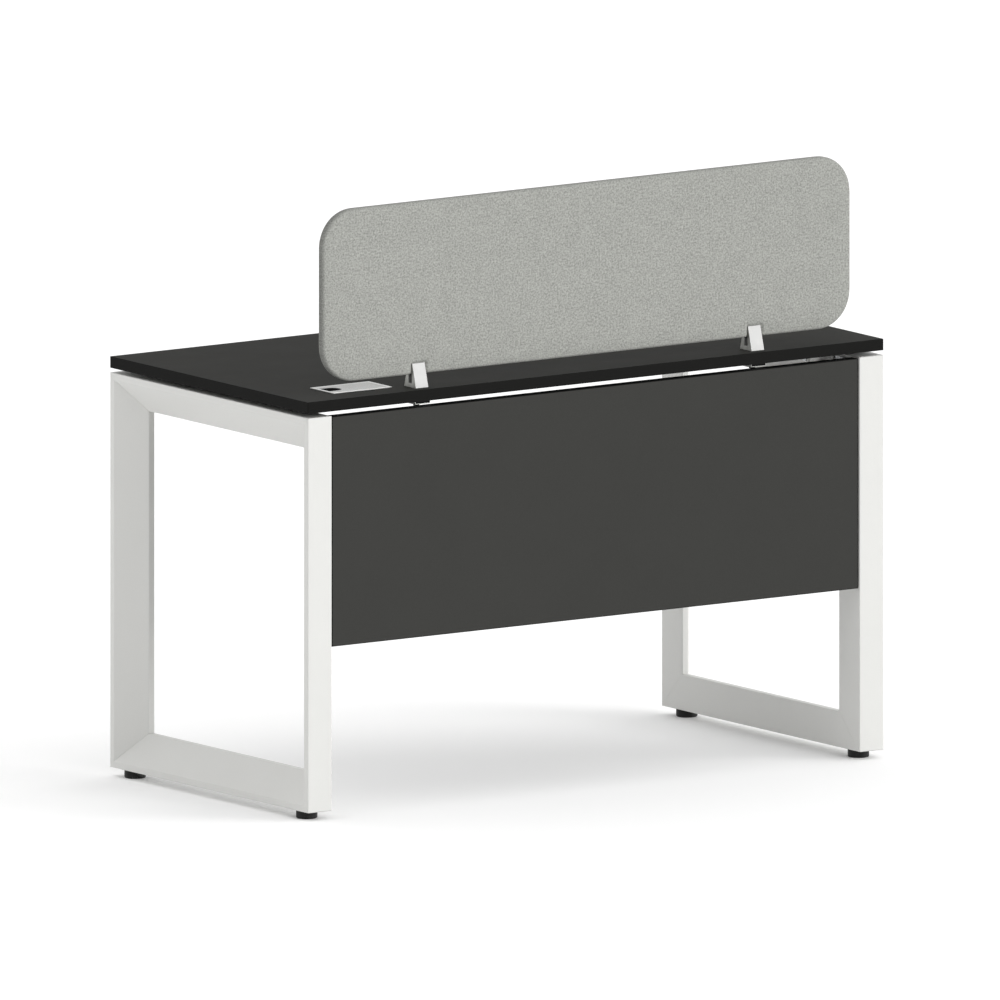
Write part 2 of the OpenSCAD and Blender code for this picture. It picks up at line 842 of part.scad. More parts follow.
// The hollow that a jaw presses into one face of the cover
module clamp_hollow(x, s) {
    half_width = clamp_width / 2 + clamp_hollow_gap;
    inner_y = screen_y + s * squeezed_half;
    outer_y = screen_y + s * screen_thickness;
    block([x - half_width, min(inner_y, outer_y), screen_bottom_z - overrun],
          [x + half_width, max(inner_y, outer_y), clamp_top_z + clamp_hollow_gap]);
}

// Screen clamps

// Side view of a clamp: its feet, its leaning jaws and the slot for the screen, with the
// first number across the screen
clamp_outline = [
    [-slot_half - clamp_foot_jaw, desk_height],
    [slot_half + clamp_foot_jaw, desk_height],
    [slot_half + clamp_tip_jaw, clamp_top_z],
    [slot_half, clamp_top_z],
    [slot_half, slot_floor_z],
    [-slot_half, slot_floor_z],
    [-slot_half, clamp_top_z],
    [-slot_half - clamp_tip_jaw, clamp_top_z]
];

module clamp(side) {
    color(aluminium)
        on_side(side)
            translate([-clamp_x, screen_y, 0])
                difference() {
                    rotate([90, 0, 90])
                        linear_extrude(height = clamp_width, center = true)
                            polygon(clamp_outline);
                    translate([0, 0, desk_height - overrun])
                        cylinder(d = clamp_bolt + 2 * running_gap,
                                 h = clamp_bolt_grip + seat_gap + overrun, $fn = round_sides);
                    translate([0, -slot_half + overrun, set_screw_z])
                        rotate([90, 0, 0])
                            cylinder(d = set_screw + 2 * running_gap,
                                     h = clamp_foot_jaw + 2 * overrun, $fn = round_sides);
                }
}

module clamp_liners() {
    color(black_plastic)
        for (x = [-clamp_x, clamp_x])
            for (y = [screen_y - slot_half, screen_y + slot_half - clamp_liner])
                block([x - clamp_width / 2, y, screen_bottom_z - clamp_liner_drop],
                      [x + clamp_width / 2, y + clamp_liner, clamp_top_z]);
}

module clamp_plate(side) {
    floor_z = top_bottom_z - clamp_plate_thickness + clamp_plate_wall;
    color(aluminium)
        on_side(side)
            difference() {
                block([-clamp_x - clamp_plate_length / 2, screen_y - clamp_plate_depth / 2,
                       top_bottom_z - clamp_plate_thickness],
                      [-clamp_x + clamp_plate_length / 2, screen_y + clamp_plate_depth / 2,
                       top_bottom_z - clamp_pad_proud]);
                block([-clamp_x - clamp_plate_length / 2 + clamp_plate_wall,
                       screen_y - clamp_plate_depth / 2 - overrun, floor_z],
                      [-clamp_x + clamp_plate_length / 2 - clamp_plate_wall,
                       screen_y + clamp_plate_depth / 2 + overrun, top_bottom_z]);
                translate([-clamp_x, screen_y, top_bottom_z - clamp_plate_thickness - overrun])
                    cylinder(d = clamp_bolt_hole, h = clamp_plate_thickness + 2 * overrun,
                             $fn = round_sides);
            }
}

module clamp_pads() {
    floor_z = top_bottom_z - clamp_plate_thickness + clamp_plate_wall;
    half_pad = clamp_plate_length / 2 - clamp_plate_wall - seat_gap;
    color(black_plastic)
        for (x = [-clamp_x, clamp_x])
            difference() {
                block([x - half_pad, screen_y - clamp_plate_depth / 2, floor_z],
                      [x + half_pad, screen_y + clamp_plate_depth / 2, top_bottom_z]);
                translate([x, screen_y, floor_z - overrun])
                    cylinder(d = clamp_bolt_hole, h = clamp_plate_thickness + 2 * overrun,
                             $fn = round_sides);
            }
}

module clamp_bolts() {
    color(black_plastic)
        for (x = [-clamp_x, clamp_x])
            translate([x, screen_y, top_bottom_z - clamp_plate_thickness])
                mirror([0, 0, 1])
                    socket_bolt(clamp_bolt,
                                clamp_plate_thickness + top_thickness + clamp_bolt_grip,
                                clamp_bolt_head, clamp_bolt, clamp_bolt * 0.8, clamp_bolt / 2);
}

// Set screws in the front jaws, which press the cover against the board
module clamp_set_screws() {
    reach = jaw_at_set_screw - seat_gap;
    color(zinc)
        for (x = [-clamp_x, clamp_x])
            translate([x, screen_y - slot_half, set_screw_z])
                rotate([90, 0, 0])
                    difference() {
                        cylinder(d = set_screw, h = reach, $fn = round_sides);
                        translate([0, 0, reach / 2])
                            cylinder(d = set_screw / 2 / cos(30), h = reach + overrun, $fn = 6);
                    }
}

// Cable box

module cable_box_frame() {
    ledge_top_z = lid_bottom_z - seat_gap;
    inside = [opening_length / 2, opening_width / 2];
    color(aluminium)
        difference() {
            union() {
                difference() {
                    union() {
                        block([box_x - box_length / 2, box_y - box_width / 2, desk_height],
                              [box_x + box_length / 2, box_y + box_width / 2, box_top_z]);
                        block([box_x - skirt_length / 2, box_y - skirt_width / 2, box_bottom_z],
                              [box_x + skirt_length / 2, box_y + skirt_width / 2, box_top_z]);
                    }
                    block([box_x - inside[0], box_y - inside[1], box_bottom_z - overrun],
                          [box_x + inside[0], box_y + inside[1], box_top_z + overrun]);
                }
                block([box_x - inside[0] - box_wall / 2, box_y - inside[1] - box_wall / 2,
                       ledge_top_z - box_wall],
                      [box_x + inside[0] + box_wall / 2, box_y - inside[1] + lid_ledge,
                       ledge_top_z]);
            }
            translate([box_x - skirt_length / 2 - overrun, hinge_y, hinge_z])
                rotate([0, 90, 0])
                    cylinder(d = hinge_pin_diameter + 2 * running_gap,
                             h = skirt_length + 2 * overrun, $fn = round_sides);
        }
}

module cable_box_lid() {
    groove_pitch = (lid_back_y - lid_front_y) / (lid_grooves + 1);
    color(aluminium)
        difference() {
            union() {
                block([box_x - lid_length / 2, lid_front_y, lid_bottom_z],
                      [box_x + lid_length / 2, lid_back_y, box_top_z]);
                for (s = [-1, 1])
                    translate([box_x + s * knuckle_spacing / 2 - knuckle_length / 2,
                               hinge_y, hinge_z])
                        rotate([0, 90, 0])
                            cylinder(d = knuckle_diameter, h = knuckle_length,
                                     $fn = round_sides);
            }
            translate([box_x - lid_length / 2 - overrun, hinge_y, hinge_z])
                rotate([0, 90, 0])
                    cylinder(d = hinge_pin_diameter + 2 * running_gap,
                             h = lid_length + 2 * overrun, $fn = round_sides);
            notch_form(cable_notch, lid_bottom_z - overrun, box_top_z + overrun,
                       lid_end_x + overrun);
            for (i = [1 : lid_grooves])
                translate([box_x - lid_length / 2 - overrun,
                           lid_front_y + i * groove_pitch - groove_width / 2,
                           box_top_z - groove_depth])
                    cube([lid_length + 2 * overrun, groove_width, groove_depth + overrun]);
        }
}

module notch_form(width, bottom, top, end) {
    translate([cable_notch_x, box_y, bottom])
        cylinder(d = width, h = top - bottom, $fn = round_sides);
    block([cable_notch_x, box_y - width / 2, bottom], [end, box_y + width / 2, top]);
}

module notch_lining() {
    flange_top_z = lid_bottom_z - seat_gap;
    lining_bottom_z = lid_bottom_z - notch_lining_depth;
    color(black_plastic)
        difference() {
            union() {
                notch_form(cable_notch - 2 * running_gap, lining_bottom_z, box_top_z, lid_end_x);
                notch_form(cable_notch + 2 * notch_lining_flange,
                           flange_top_z - notch_lining_flange_thickness, flange_top_z, lid_end_x);
            }
            notch_form(cable_notch - 2 * notch_lining_wall, lining_bottom_z - overrun,
                       box_top_z + overrun, lid_end_x + overrun);
            block([lid_end_x, box_y - cable_notch, lining_bottom_z - overrun],
                  [lid_end_x + cable_notch, box_y + cable_notch, box_top_z + overrun]);
        }
}

module hinge_pin() {
    color(zinc)
        translate([box_x - skirt_length / 2, hinge_y, hinge_z])
            rotate([0, 90, 0])
                cylinder(d = hinge_pin_diameter, h = skirt_length, $fn = round_sides);
}

// Levelling feet

module foot_inserts() {
    color(zinc)
        for (x = [-foot_x, foot_x])
            for (y = [-foot_y, foot_y])
                translate([x, y, frame_bottom_z + tube_wall])
                    tube_of_revolution(insert_diameter, stem_diameter + 2 * running_gap,
                                       insert_height);
}

module foot(x, y) {
    radius = foot_diameter / 2;
    top_z = foot_height - seat_gap;
    color(black_plastic)
        translate([x, y, 0])
            difference() {
                rotate_extrude($fn = 2 * round_sides)
                    polygon([
                        [0, 0], [radius - foot_chamfer, 0], [radius, foot_chamfer],
                        [radius, top_z - foot_chamfer / 2], [radius - foot_chamfer / 2, top_z],
                        [0, top_z]
                    ]);
                translate([0, 0, stem_bottom_z])
                    cylinder(d = stem_diameter + 2 * running_gap, h = stem_seat + overrun,
                             $fn = round_sides);
            }
}

module stem(x, y) {
    tip = stem_diameter / 8;
    color(zinc)
        translate([x, y, stem_bottom_z]) {
            cylinder(d = stem_diameter, h = stem_top_z - stem_bottom_z - tip, $fn = round_sides);
            translate([0, 0, stem_top_z - stem_bottom_z - tip])
                cylinder(d1 = stem_diameter, d2 = stem_diameter - 2 * tip, h = tip,
                         $fn = round_sides);
        }
}

worktop();
worktop_edging();
top_rail(left);  // left_top_rail
bottom_rail(left);  // left_bottom_rail
rear_post(left);  // left_rear_post
front_post(left);  // left_front_post
top_rail(right);  // right_top_rail
bottom_rail(right);  // right_bottom_rail
rear_post(right);  // right_rear_post
front_post(right);  // right_front_post
beam(rear_beam_y);  // rear_beam
beam(front_beam_y);  // front_beam
beam_end_plates();
beam_bolts();
worktop_brackets(left);  // left_worktop_brackets
worktop_brackets(right);  // right_worktop_brackets
worktop_screws();
bracket_bolts();
frame_nuts();
modesty_panel();
modesty_panel_edging();
panel_brackets(left);  // left_panel_brackets
panel_brackets(right);  // right_panel_brackets
panel_screws();
screen_board();
screen_cover_fabric();
clamp(left);  // left_clamp
clamp(right);  // right_clamp
clamp_liners();
clamp_plate(left);  // left_clamp_plate
clamp_plate(right);  // right_clamp_plate
clamp_pads();
clamp_bolts();
clamp_set_screws();
cable_box_frame();
cable_box_lid();
notch_lining();
hinge_pin();
foot_inserts();
foot(-foot_x, -foot_y);  // left_front_foot
stem(-foot_x, -foot_y);  // left_front_stem
foot(-foot_x, foot_y);  // left_rear_foot
stem(-foot_x, foot_y);  // left_rear_stem
foot(foot_x, -foot_y);  // right_front_foot
stem(foot_x, -foot_y);  // right_front_stem
foot(foot_x, foot_y);  // right_rear_foot
stem(foot_x, foot_y);  // right_rear_stem
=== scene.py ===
import math

import bmesh
import bpy
from mathutils import Matrix, Vector


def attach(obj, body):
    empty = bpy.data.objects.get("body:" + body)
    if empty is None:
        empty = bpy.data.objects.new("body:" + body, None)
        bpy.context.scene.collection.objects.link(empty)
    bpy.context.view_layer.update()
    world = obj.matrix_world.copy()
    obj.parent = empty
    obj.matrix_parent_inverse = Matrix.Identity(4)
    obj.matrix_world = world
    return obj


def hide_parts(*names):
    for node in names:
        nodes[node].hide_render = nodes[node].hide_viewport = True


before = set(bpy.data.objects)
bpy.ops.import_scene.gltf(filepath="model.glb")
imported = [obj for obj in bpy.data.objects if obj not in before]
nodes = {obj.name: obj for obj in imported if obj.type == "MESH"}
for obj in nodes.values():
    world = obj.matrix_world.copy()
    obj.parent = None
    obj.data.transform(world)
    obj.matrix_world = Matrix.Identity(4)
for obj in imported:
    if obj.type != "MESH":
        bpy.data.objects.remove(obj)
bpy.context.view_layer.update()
scene = bpy.context.scene
scene.view_settings.view_transform = "Standard"
print("frame loaded:", len(nodes), "nodes")

samePlace = 1e-5  # metres: points nearer than this are one point
hairline = 1e-6  # metres: a length that counts as none
squareOn = 0.9  # share of its normal from which a face counts as square to an axis
flatAngle = math.radians(1)  # faces that meet at less than this are one face
sharpAngle = math.radians(35)  # faces that meet at more than this make a sharp edge


# Camera: the photograph is a parallel view from behind the desk, a little above it
photoView = {
    "aim": (0.2776, 0.4134, 0.5459),  # point in the middle of the picture, metres
    "towardCamera": (0.5593, 0.8131, 0.1615),
    "distance": 6.0,
    "pictureWidth": 1.7175,  # metres across the picture
    "farthest": 100.0,
}

cameraData = bpy.data.cameras.new("photoCamera")
cameraData.type = "ORTHO"
cameraData.ortho_scale = photoView["pictureWidth"]
cameraData.clip_end = photoView["farthest"]
camera = bpy.data.objects.new("photoCamera", cameraData)
scene.collection.objects.link(camera)
towardCamera = Vector(photoView["towardCamera"]).normalized()
camera.location = Vector(photoView["aim"]) + towardCamera * photoView["distance"]
camera.rotation_mode = "QUATERNION"
camera.rotation_quaternion = (-towardCamera).to_track_quat("-Z", "Y")
scene.camera = camera
print("camera set")


# Small helpers for node trees

def screenColour(red, green, blue):
    def linear(value):
        value /= 255
        return value / 12.92 if value <= 0.04045 else ((value + 0.055) / 1.055) ** 2.4
    return (linear(red), linear(green), linear(blue), 1.0)


def fillInputs(tree, node, inputs):
    for key, value in inputs.items():
        if isinstance(value, bpy.types.NodeSocket):
            tree.links.new(value, node.inputs[key])
        else:
            node.inputs[key].default_value = value


def addNode(tree, kind, inputs=None, **settings):
    node = tree.nodes.new("ShaderNode" + kind)
    for key, value in settings.items():
        setattr(node, key, value)
    fillInputs(tree, node, inputs or {})
    return node


def doMath(tree, operation, first, second=0.0, third=0.0):
    node = addNode(tree, "Math", {0: first, 1: second, 2: third}, operation=operation)
    return node.outputs[0]


def remap(tree, value, fromRange, toRange):
    node = addNode(tree, "MapRange", {
        "Value": value, "From Min": fromRange[0], "From Max": fromRange[1],
        "To Min": toRange[0], "To Max": toRange[1]})
    return node.outputs["Result"]


def stretched(tree, position, factors):
    node = addNode(tree, "VectorMath", {0: position, 1: factors}, operation="MULTIPLY")
    return node.outputs[0]


def scaled(tree, vector, factor):
    node = addNode(tree, "VectorMath", {0: vector, "Scale": factor}, operation="SCALE")
    return node.outputs[0]


def dotProduct(tree, first, second):
    node = addNode(tree, "VectorMath", {0: first, 1: second}, operation="DOT_PRODUCT")
    return node.outputs["Value"]


def mixColours(tree, share, first, second):
    node = addNode(tree, "Mix", {0: share, 6: first, 7: second}, data_type="RGBA")
    return node.outputs[2]


def mixValues(tree, share, first, second):
    node = addNode(tree, "Mix", {0: share, 2: first, 3: second}, data_type="FLOAT")
    return node.outputs[0]


def cloudy(tree, position, scale, detail, roughness=0.5, distortion=0.0):
    node = addNode(tree, "TexNoise", {
        "Vector": position, "Scale": scale, "Detail": detail, "Roughness": roughness,
        "Distortion": distortion})
    return node.outputs[0]


def startGroup(name, inputs, outputs):
    group = bpy.data.node_groups.new(name, "ShaderNodeTree")
    for label, kind, value in inputs:
        socket = group.interface.new_socket(name=label, in_out="INPUT",
                                            socket_type="NodeSocket" + kind)
        socket.default_value = value
    for label, kind in outputs:
        group.interface.new_socket(name=label, in_out="OUTPUT", socket_type="NodeSocket" + kind)
    return group, group.nodes.new("NodeGroupInput"), group.nodes.new("NodeGroupOutput")


def useGroup(tree, group, inputs):
    node = tree.nodes.new("ShaderNodeGroup")
    node.node_tree = group
    fillInputs(tree, node, inputs)
    return node


# Studio: soft light all round, one broad lamp from the right of the picture, white background
studio = {
    "domeLight": 0.90,
    "zenithGain": 0.32,  # the dome is brighter overhead
    "zenithSharpness": 2.0,
    "dimSide": (0.75, 0.66, 0.0),  # and darker on this side
    "dimming": 0.85,
    "dimSharpness": 4.0,
    "lampPower": 1.31,
    "lampFrom": (-0.70, 0.70, 0.24),
    "lampSoftness": 32,  # degrees
    "floorSpan": 40.0,
    "floorBounce": 0.97,
    "floorSeen": 1.0,
    "floorGlow": 0.055,  # only where seen directly, so the open floor is white
}


def seenDirectly(tree):
    path = addNode(tree, "LightPath")
    seen = doMath(tree, "MAXIMUM", path.outputs["Is Camera Ray"], path.outputs["Is Glossy Ray"])
    return doMath(tree, "MAXIMUM", seen, path.outputs["Is Transmission Ray"])


def plainGrey(level):
    return (level, level, level, 1)


world = bpy.data.worlds.new("studioWorld")
world.use_nodes = True
sky = world.node_tree
sky.nodes.clear()
skyDirection = addNode(sky, "TexCoord").outputs["Generated"]
towardDim = dotProduct(sky, skyDirection, Vector(studio["dimSide"]).normalized())
dimmed = doMath(sky, "POWER", doMath(sky, "MAXIMUM", towardDim, 0.0), studio["dimSharpness"])
skyHeight = addNode(sky, "SeparateXYZ", {0: skyDirection}).outputs["Z"]
overhead = doMath(sky, "POWER", doMath(sky, "MAXIMUM", skyHeight, 0.0),
                  studio["zenithSharpness"])
domeLevel = doMath(sky, "MULTIPLY_ADD", overhead, studio["zenithGain"], studio["domeLight"])
domeLevel = doMath(sky, "MULTIPLY_ADD", dimmed, -studio["dimming"], domeLevel)
domeColour = addNode(sky, "CombineXYZ", {0: domeLevel, 1: domeLevel, 2: domeLevel})
backdrop = mixColours(sky, seenDirectly(sky), domeColour.outputs[0], plainGrey(1))
background = addNode(sky, "Background", {"Color": backdrop})
addNode(sky, "OutputWorld", {"Surface": background.outputs[0]})
scene.world = world

lampData = bpy.data.lights.new("broadLamp", "SUN")
lampData.energy = studio["lampPower"]
lampData.angle = math.radians(studio["lampSoftness"])
lamp = bpy.data.objects.new("broadLamp", lampData)
lamp.rotation_mode = "QUATERNION"
lamp.rotation_quaternion = Vector(studio["lampFrom"]).to_track_quat("Z", "Y")
scene.collection.objects.link(lamp)


def makePiece(name, bm, material, body=None):
    mesh = bpy.data.meshes.new(name)
    bm.to_mesh(mesh)
    bm.free()
    piece = bpy.data.objects.new(name, mesh)
    scene.collection.objects.link(piece)
    mesh.materials.append(material)
    if body:
        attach(piece, body)
    return piece


floorMaterial = bpy.data.materials.new("paleFloor")
floorMaterial.use_nodes = True
floorTree = floorMaterial.node_tree
floorTree.nodes.clear()
floorInView = seenDirectly(floorTree)
floorColour = mixColours(floorTree, floorInView, plainGrey(studio["floorBounce"]),
                         plainGrey(studio["floorSeen"]))
floorShader = addNode(floorTree, "BsdfDiffuse", {"Color": floorColour})
floorGlow = addNode(floorTree, "Emission", {
    "Strength": doMath(floorTree, "MULTIPLY", floorInView, studio["floorGlow"])})
floorSum = addNode(floorTree, "AddShader", {0: floorShader.outputs[0], 1: floorGlow.outputs[0]})
addNode(floorTree, "OutputMaterial", {"Surface": floorSum.outputs[0]})
bm = bmesh.new()
bmesh.ops.create_grid(bm, x_segments=1, y_segments=1, size=studio["floorSpan"] / 2)
floor = makePiece("floor", bm, floorMaterial)
print("studio set")


# Effects that several finishes share
effects = {
    "cloudRange": (0.3, 0.7),  # the noise between these counts as dark to light
    "cloud": {"detail": 4.0, "roughness": 0.55},
    "edgeRange": (0.995, 0.88),  # likeness of the rounded and the flat normal: flat, full edge
    "edgeSamples": 6,
    "coarseLines": {"scale": 1.0, "detail": 3.0, "roughness": 0.7}, "coarseShare": 0.6,
    "fineLines": {"scale": 0.23, "detail": 2.0, "roughness": 0.6}, "fineShare": 0.4,
    "lineMiddle": 0.5,
    "pores": {"detail": 2.0}, "poreShare": 0.5,
    "swells": {"detail": 1.0}, "swellShare": 0.5, "swellScale": 0.31,
    "scuffs": {"scale": 1.0, "detail": 2.0, "distortion": 0.4},
    "scuffStretches": ((6.0, 240.0, 60.0), (210.0, 9.0, 40.0)),  # two crossing directions
    "scuffRange": (0.66, 0.78),  # only the strongest noise shows
}

toneGroup, given, result = startGroup("toneVariation", [
    ("Position", "Vector", (0, 0, 0)), ("Colour", "Color", (1, 1, 1, 1)),
    ("Scale", "Float", 20.0), ("Amount", "Float", 0.05)],
    [("Colour", "Color"), ("Value", "Float")])
cloud = cloudy(toneGroup, given.outputs["Position"], given.outputs["Scale"],
               **effects["cloud"])
signedCloud = remap(toneGroup, cloud, effects["cloudRange"], (-1.0, 1.0))
gain = doMath(toneGroup, "MULTIPLY_ADD", signedCloud, given.outputs["Amount"], 1.0)
toned = scaled(toneGroup, given.outputs["Colour"], gain)
fillInputs(toneGroup, result, {"Colour": toned, "Value": signedCloud})

edgeGroup, given, result = startGroup("roundedEdge", [("Radius", "Float", 0.001)],
                                      [("Normal", "Vector"), ("Edge", "Float")])
rounding = addNode(edgeGroup, "Bevel", {"Radius": given.outputs["Radius"]},
                   samples=effects["edgeSamples"])
surface = addNode(edgeGroup, "NewGeometry")
sameWay = dotProduct(edgeGroup, rounding.outputs[0], surface.outputs["Normal"])
edgeMask = remap(edgeGroup, sameWay, effects["edgeRange"], (0.0, 1.0))
fillInputs(edgeGroup, result, {"Normal": rounding.outputs[0], "Edge": edgeMask})

lineGroup, given, result = startGroup("brushedLines", [
    ("Position", "Vector", (0, 0, 0)), ("Stretch", "Vector", (10.0, 1500.0, 1500.0))],
    [("Lines", "Float")])
brushed = stretched(lineGroup, given.outputs["Position"], given.outputs["Stretch"])
coarse = cloudy(lineGroup, brushed, **effects["coarseLines"])
fine = cloudy(lineGroup, brushed, **effects["fineLines"])
lines = doMath(lineGroup, "MULTIPLY_ADD", coarse, effects["coarseShare"],
               doMath(lineGroup, "MULTIPLY", fine, effects["fineShare"]))
fillInputs(lineGroup, result, {"Lines": lines})

peelGroup, given, result = startGroup("finePeel", [
    ("Position", "Vector", (0, 0, 0)), ("Scale", "Float", 600.0)], [("Height", "Float")])
swellScale = doMath(peelGroup, "MULTIPLY", given.outputs["Scale"], effects["swellScale"])
pores = cloudy(peelGroup, given.outputs["Position"], given.outputs["Scale"],
               **effects["pores"])
swells = cloudy(peelGroup, given.outputs["Position"], swellScale, **effects["swells"])
peel = doMath(peelGroup, "MULTIPLY_ADD", pores, effects["poreShare"],
              doMath(peelGroup, "MULTIPLY", swells, effects["swellShare"]))
fillInputs(peelGroup, result, {"Height": peel})

scuffGroup, given, result = startGroup("lightScuffs", [
    ("Position", "Vector", (0, 0, 0)), ("Amount", "Float", 0.5)], [("Mask", "Float")])
scuffed = [cloudy(scuffGroup, stretched(scuffGroup, given.outputs["Position"], stretch),
                  **effects["scuffs"])
           for stretch in effects["scuffStretches"]]
strongest = doMath(scuffGroup, "MAXIMUM", *scuffed)
scuffs = doMath(scuffGroup, "MULTIPLY",
                remap(scuffGroup, strongest, effects["scuffRange"], (0.0, 1.0)),
                given.outputs["Amount"])
fillInputs(scuffGroup, result, {"Mask": scuffs})


# Finishes

def startMaterial(name, roughness=0.5, specular=0.5, metallic=0.0):
    material = bpy.data.materials.new(name)
    material.use_nodes = True
    tree = material.node_tree
    tree.nodes.clear()
    shader = addNode(tree, "BsdfPrincipled", {
        "Roughness": roughness, "Specular IOR Level": specular, "Metallic": metallic})
    addNode(tree, "OutputMaterial", {"Surface": shader.outputs[0]})
    place = addNode(tree, "TexCoord")
    return material, tree, shader, place.outputs["Object"]


def setBump(tree, shader, height, strength, distance, normal=None):
    bump = addNode(tree, "Bump", {"Strength": strength, "Distance": distance, "Height": height})
    if normal is not None:
        tree.links.new(normal, bump.inputs["Normal"])
    tree.links.new(bump.outputs[0], shader.inputs["Normal"])


wearHabits = {
    "roughnessSwing": 0.03,  # how far the broad tone moves the roughness
    "scuffPolish": 0.12,  # how much smoother a scuff is
}


def plainFinish(name, look):
    material, tree, shader, position = startMaterial(name, look["roughness"], look["specular"])
    broad = useGroup(tree, toneGroup, {
        "Position": position, "Colour": screenColour(*look["colour"]),
        "Scale": look["toneScale"], "Amount": look["toneAmount"]})
    fleck = useGroup(tree, toneGroup, {
        "Position": position, "Colour": broad.outputs["Colour"],
        "Scale": look["fleckScale"], "Amount": look["fleckAmount"]})
    edge = useGroup(tree, edgeGroup, {"Radius": look["edgeRadius"]})
    # the colour is lighter along the rounded edges
    edgeLift = doMath(tree, "MULTIPLY", edge.outputs["Edge"], look["edgeLightening"])
    colour = mixColours(tree, edgeLift, fleck.outputs["Colour"], screenColour(*look["lighterEdgeColour"]))
    scuff = useGroup(tree, scuffGroup, {"Position": position, "Amount": look["scuffs"]})
    roughness = doMath(tree, "MULTIPLY_ADD", broad.outputs["Value"],
                       wearHabits["roughnessSwing"], look["roughness"])
    roughness = doMath(tree, "SUBTRACT", roughness,
                       doMath(tree, "MULTIPLY", scuff.outputs["Mask"],
                              wearHabits["scuffPolish"]))
    fillInputs(tree, shader, {"Base Color": colour, "Roughness": roughness})
    grain = useGroup(tree, peelGroup, {"Position": position, "Scale": look["peelScale"]})
    setBump(tree, shader, grain.outputs["Height"], look["peelStrength"], look["peelDepth"],
            edge.outputs["Normal"])
    return material


whitePaint = plainFinish("whitePaint", {
    "colour": (219, 219, 216), "lighterEdgeColour": (227, 227, 224), "edgeLightening": 0.35,
    "roughness": 0.42, "specular": 0.30, "toneScale": 7.0, "toneAmount": 0.012,
    "fleckScale": 420.0, "fleckAmount": 0.010, "edgeRadius": 0.0016, "scuffs": 0.25,
    "peelScale": 520.0, "peelStrength": 0.16, "peelDepth": 0.0003})

# painted light: the top is coloured lighter than its edging, though both are the same black, for
# the light the top catches from above
blackLaminate = plainFinish("blackLaminate", {
    "colour": (51, 51, 49), "lighterEdgeColour": (59, 59, 57), "edgeLightening": 0.3,
    "roughness": 0.66, "specular": 0.02, "toneScale": 11.0, "toneAmount": 0.035,
    "fleckScale": 800.0, "fleckAmount": 0.09, "edgeRadius": 0.0006, "scuffs": 0.5,
    "peelScale": 900.0, "peelStrength": 0.35, "peelDepth": 0.0002})

blackEdging = plainFinish("blackEdging", {
    "colour": (24, 24, 23), "lighterEdgeColour": (40, 40, 39), "edgeLightening": 0.45,
    "roughness": 0.55, "specular": 0.04, "toneScale": 16.0, "toneAmount": 0.04,
    "fleckScale": 700.0, "fleckAmount": 0.07, "edgeRadius": 0.0006, "scuffs": 0.4,
    "peelScale": 1100.0, "peelStrength": 0.25, "peelDepth": 0.00015})

greyLaminate = plainFinish("greyLaminate", {
    "colour": (61, 61, 59), "lighterEdgeColour": (72, 72, 70), "edgeLightening": 0.3,
    "roughness": 0.66, "specular": 0.04, "toneScale": 9.0, "toneAmount": 0.022,
    "fleckScale": 800.0, "fleckAmount": 0.06, "edgeRadius": 0.0006, "scuffs": 0.4,
    "peelScale": 900.0, "peelStrength": 0.35, "peelDepth": 0.0002})

blackPlastic = plainFinish("blackPlastic", {
    "colour": (20, 20, 20), "lighterEdgeColour": (44, 44, 44), "edgeLightening": 0.4,
    "roughness": 0.48, "specular": 0.25, "toneScale": 40.0, "toneAmount": 0.05,
    "fleckScale": 1500.0, "fleckAmount": 0.10, "edgeRadius": 0.0008, "scuffs": 0.6,
    "peelScale": 1800.0, "peelStrength": 0.3, "peelDepth": 0.00015})

linerRubber = plainFinish("linerRubber", {
    "colour": (34, 34, 34), "lighterEdgeColour": (50, 50, 50), "edgeLightening": 0.3,
    "roughness": 0.85, "specular": 0.2, "toneScale": 60.0, "toneAmount": 0.08,
    "fleckScale": 900.0, "fleckAmount": 0.10, "edgeRadius": 0.0004, "scuffs": 0.2,
    "peelScale": 1500.0, "peelStrength": 0.4, "peelDepth": 0.0002})


def metalFinish(name, look):
    material, tree, shader, position = startMaterial(name, look["roughness"], metallic=1.0)
    line = useGroup(tree, lineGroup, {"Position": position, "Stretch": look["stretch"]})
    tone = useGroup(tree, toneGroup, {
        "Position": position, "Colour": screenColour(*look["colour"]),
        "Scale": look["toneScale"], "Amount": look["toneAmount"]})
    signedLine = doMath(tree, "SUBTRACT", line.outputs["Lines"], effects["lineMiddle"])
    streak = doMath(tree, "MULTIPLY_ADD", signedLine, look["streakTone"], 1.0)
    edge = useGroup(tree, edgeGroup, {"Radius": look["edgeRadius"]})
    # painted highlight: the rounded edges are coloured towards a lighter highlight colour
    paintedHighlight = doMath(tree, "MULTIPLY", edge.outputs["Edge"], look["paintedEdgeHighlight"])
    colour = mixColours(tree, paintedHighlight, scaled(tree, tone.outputs["Colour"], streak),
                        screenColour(*look["highlightColour"]))
    roughness = doMath(tree, "MULTIPLY_ADD", line.outputs["Lines"], look["streakRough"],
                       look["roughness"] - look["streakRough"] / 2)
    fillInputs(tree, shader, {"Base Color": colour, "Roughness": roughness})
    setBump(tree, shader, line.outputs["Lines"], look["bump"], look["bumpDepth"],
            edge.outputs["Normal"])
    return material


clampAluminium = metalFinish("clampAluminium", {
    "colour": (163, 163, 162), "highlightColour": (216, 216, 215), "paintedEdgeHighlight": 0.9,
    "roughness": 0.52, "toneScale": 60.0, "toneAmount": 0.03, "stretch": (1400.0, 1400.0, 60.0),
    "streakTone": 0.10, "streakRough": 0.10, "edgeRadius": 0.0010, "bump": 0.25,
    "bumpDepth": 0.0001})

cutAluminium = metalFinish("cutAluminium", {
    "colour": (212, 213, 208), "highlightColour": (228, 228, 226), "paintedEdgeHighlight": 0.5,
    "roughness": 0.42, "toneScale": 90.0, "toneAmount": 0.10, "stretch": (900.0, 900.0, 120.0),
    "streakTone": 0.30, "streakRough": 0.14, "edgeRadius": 0.0005, "bump": 0.35,
    "bumpDepth": 0.0001})

